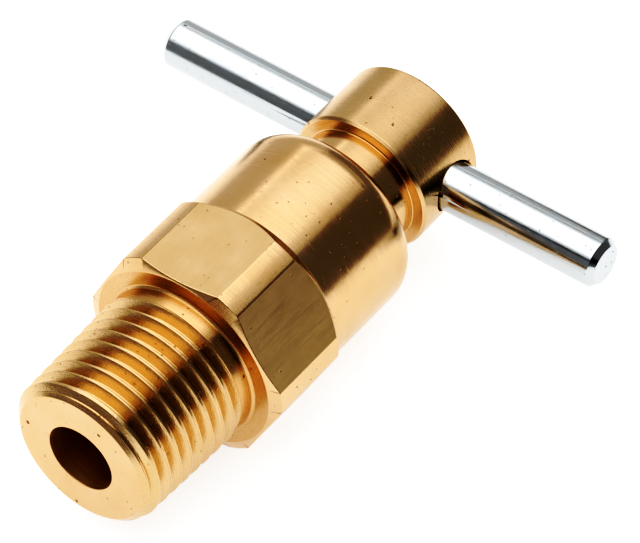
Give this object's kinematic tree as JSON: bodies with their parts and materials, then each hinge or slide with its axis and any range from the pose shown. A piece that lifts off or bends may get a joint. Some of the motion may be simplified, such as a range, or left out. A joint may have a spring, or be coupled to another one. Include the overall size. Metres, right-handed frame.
{
  "type": "drain cock",
  "caption": "Small brass drain cock with a taper pipe thread, hexagon, spun barrel, bored spindle head and a cross tee bar.",
  "frame": {"origin": "centre of the inlet end face, at the small end of the taper thread", "axes": "+Y along the axis from the inlet to the head of the spindle, +Z square to the upper flat of the hexagon, X nearly along the tee bar"},
  "size_m": [0.0321, 0.0321, 0.0126],
  "materials": {
    "turned_brass": "fine turned, bare",
    "spindle_brass": "fine turned, bare",
    "zinc_plated_steel": "bright zinc plate",
    "nitrile_rubber": "satin"
  },
  "bodies": {
    "valve_body": {"valve_body": "turned_brass"},
    "seal_ring": {"seal_ring": "nitrile_rubber"},
    "spindle": {"spindle": "spindle_brass", "tee_bar": "zinc_plated_steel"}
  },
  "joints": [
    {"name": "spindle_travel", "type": "slide", "parent": "valve_body", "child": "seal_ring", "axis": [0, 1, 0], "range_m": [0, 0.00212]},
    {"name": "spindle_turn", "type": "hinge", "parent": "seal_ring", "child": "spindle", "pos_m": [0, 0.01948, 0], "axis": [0, 1, 0], "range_deg": [0, 720]}
  ],
  "couplings": [
    {"joint": "spindle_travel", "follows": "spindle_turn", "m_per_rad": 0.00016844}
  ]
}
